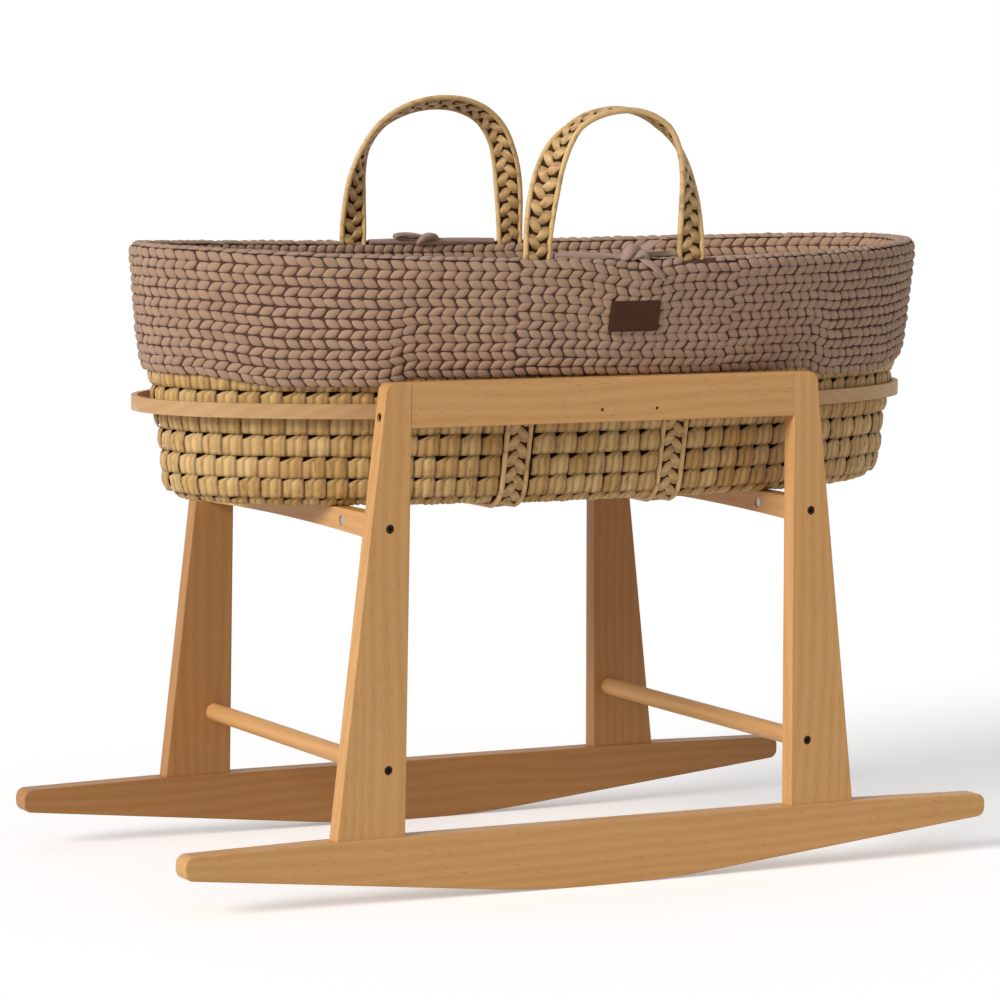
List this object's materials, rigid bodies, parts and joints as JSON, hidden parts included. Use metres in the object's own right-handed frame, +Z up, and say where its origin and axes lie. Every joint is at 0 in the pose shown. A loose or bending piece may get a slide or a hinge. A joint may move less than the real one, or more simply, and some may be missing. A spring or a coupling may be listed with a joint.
{
  "type": "moses basket with stand",
  "caption": "Oval woven palm moses basket with a knitted cover, mattress and two carrying handles, resting on a wooden rocking stand with a bent hoop.",
  "frame": {"origin": "on the floor, under the middle of the whole", "axes": "+X along the basket, to the right seen from the front; -Y is the front; +Z up"},
  "size_m": [0.898, 0.45, 0.7514],
  "materials": {
    "beech": "satin oiled beech",
    "bent_beech": "satin bent beech strip",
    "pin_wood": "raw fluted beech pin",
    "zinc_steel": "zinc plated",
    "black_steel": "black oxide",
    "palm_weave": "dry woven palm leaf",
    "palm_plait": "dry plaited palm leaf",
    "knit": "chunky cotton knit",
    "tie_cloth": "rolled jersey",
    "leather": "smooth dark leather",
    "mattress_cloth": "quilted cotton"
  },
  "bodies": {
    "stand": {"rocker_front": "beech", "rocker_back": "beech", "leg_front_left": "beech", "leg_front_right": "beech", "leg_back_left": "beech", "leg_back_right": "beech", "top_rail_front": "beech", "top_rail_back": "beech", "support_board_left": "beech", "support_board_right": "beech", "dowel_left": "beech", "dowel_right": "beech", "bent_hoop": "bent_beech", "hoop_screws": "zinc_steel", "upper_bolts": "black_steel", "upper_barrel_nuts": "zinc_steel", "lower_bolts": "black_steel", "dowel_inserts": "zinc_steel", "rail_bolts": "black_steel", "rail_barrel_nuts": "zinc_steel", "rail_pins": "pin_wood", "leg_pins": "pin_wood"},
    "basket": {"basket_walls": "palm_weave", "basket_base": "palm_weave", "basket_rim": "palm_weave", "carry_strap_left": "palm_plait", "carry_strap_right": "palm_plait", "cover_skirt": "knit", "cover_lining": "knit", "cover_tie_front": "tie_cloth", "cover_tie_back": "tie_cloth", "leather_patch": "leather"},
    "mattress": {"mattress": "mattress_cloth"},
    "handle_front": {"handle_front": "palm_plait"},
    "handle_back": {"handle_back": "palm_plait"}
  },
  "joints": [
    {"name": "basket_lift", "type": "slide", "parent": "stand", "child": "basket", "axis": [0, 0, 1], "range_m": [0, 0.25]},
    {"name": "mattress_lift", "type": "slide", "parent": "basket", "child": "mattress", "axis": [0, 0, 1], "range_m": [0, 0.3]},
    {"name": "handle_front_fold", "type": "hinge", "parent": "basket", "child": "handle_front", "pos_m": [0.0015, -0.20415, 0.6089], "axis": [1, 0, 0], "range_deg": [-70, 80]},
    {"name": "handle_back_fold", "type": "hinge", "parent": "basket", "child": "handle_back", "pos_m": [0.008, 0.20353, 0.6089], "axis": [-1, 0, 0], "range_deg": [-70, 80]}
  ]
}
